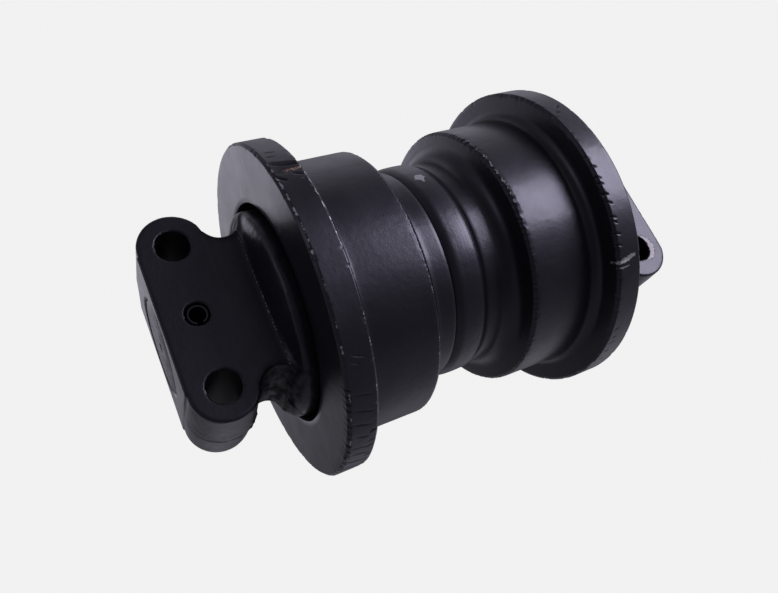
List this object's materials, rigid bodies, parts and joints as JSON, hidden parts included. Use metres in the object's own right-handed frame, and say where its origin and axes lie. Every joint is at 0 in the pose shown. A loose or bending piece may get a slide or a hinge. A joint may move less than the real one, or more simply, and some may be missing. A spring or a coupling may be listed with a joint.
{
  "type": "track roller",
  "caption": "Double-flanged bottom track roller on a fixed axle, carried by two bolt-on end collars; the shell spins freely on bronze bushes.",
  "frame": {"origin": "centre of the roller, on the axle's axis, halfway between the collars", "axes": "+Y along the axle from the left collar to the right one, +Z out of the collars' mounting faces, up towards the track frame, +X across the machine's travel line so that the frame is right-handed"},
  "size_m": [0.19, 0.3084, 0.19],
  "materials": {
    "shell_paint": "satin black enamel over forged steel",
    "collar_paint": "satin black enamel over forged steel, slightly rougher",
    "axle_steel": "ground steel, black enamel on its end faces",
    "plug_steel": "turned steel",
    "pin_steel": "spring steel under thin black enamel",
    "bush_bronze": "machined bronze",
    "seal_iron": "turned chilled iron with lapped faces",
    "seal_rubber": "smooth moulded rubber"
  },
  "bodies": {
    "fixed_frame": {"axle": "axle_steel", "oil_plug": "plug_steel", "collar_left": "collar_paint", "collar_right": "collar_paint", "lock_pin_left": "pin_steel", "lock_pin_right": "pin_steel", "axle_o_ring_left": "seal_rubber", "axle_o_ring_right": "seal_rubber", "fixed_seal_ring_left": "seal_iron", "fixed_seal_ring_right": "seal_iron", "fixed_seal_toric_left": "seal_rubber", "fixed_seal_toric_right": "seal_rubber"},
    "roller": {"shell_half_left": "shell_paint", "shell_half_right": "shell_paint", "weld_band": "shell_paint", "flanged_bush_left": "bush_bronze", "flanged_bush_right": "bush_bronze", "rotating_seal_ring_left": "seal_iron", "rotating_seal_ring_right": "seal_iron", "rotating_seal_toric_left": "seal_rubber", "rotating_seal_toric_right": "seal_rubber"}
  },
  "joints": [
    {"name": "roller_spin", "type": "hinge", "parent": "fixed_frame", "child": "roller", "pos_m": [0, 0, 0], "axis": [0, 1, 0], "continuous": true}
  ]
}
